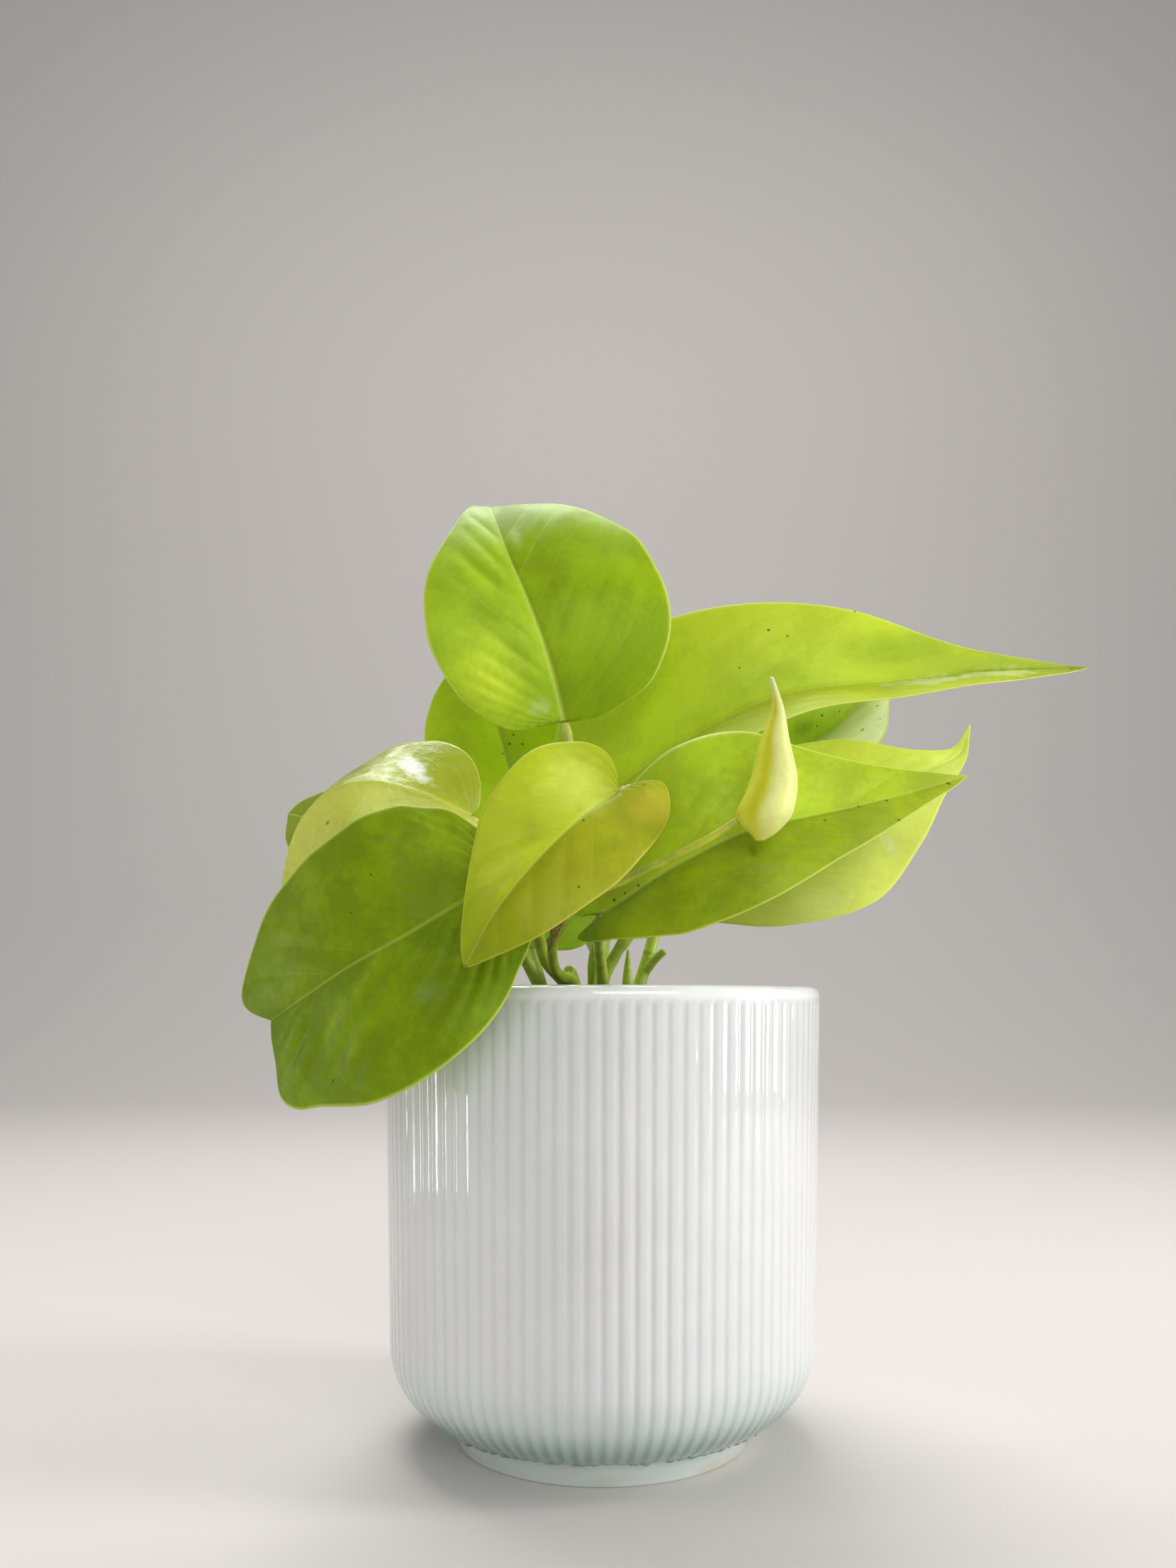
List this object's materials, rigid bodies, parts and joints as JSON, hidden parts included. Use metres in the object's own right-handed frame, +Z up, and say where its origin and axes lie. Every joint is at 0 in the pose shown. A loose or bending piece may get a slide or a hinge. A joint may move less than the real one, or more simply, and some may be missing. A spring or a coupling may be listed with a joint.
{
  "type": "potted golden pothos",
  "caption": "Young lime-leaved pothos vine with heart-shaped leaves, one leaf still rolled up, growing from soil in a finely ribbed white glazed pot on a narrow foot.",
  "frame": {"origin": "centre of the pot's foot, on the surface it stands on", "axes": "+Z up along the pot's axis, +X to the viewer's right, the side shown in the picture faces -Y"},
  "size_m": [0.2526, 0.1593, 0.2819],
  "materials": {
    "glaze": "glossy white ceramic glaze, cool in the hollows between the ribs",
    "soil": "dark crumbly potting soil",
    "stem": "smooth pale green stems with a soft sheen",
    "lime": "waxy lime-green leaf, satin, with pale veins",
    "green": "waxy mid-green leaf, satin, with pale veins",
    "cream": "soft pale yellow rolled leaf, satin",
    "dry": "dead brown sheath, matte and papery"
  },
  "bodies": {
    "root": {"pot": "glaze", "soil": "soil", "vine_left": "stem", "vine_front": "stem", "vine_centre": "stem", "vine_back": "stem", "vine_right": "stem", "vine_outer": "stem", "leaf_top": "lime", "leaf_long_right": "lime", "leaf_back_right": "green", "leaf_front_right": "lime", "leaf_lower_right": "lime", "leaf_small_front": "lime", "leaf_big_left": "green", "leaf_glossy_left": "lime", "leaf_far_left": "green", "leaf_mid_back": "green", "leaf_tiny_low": "green", "leaf_furled": "cream", "dry_sheath": "dry"}
  },
  "joints": []
}
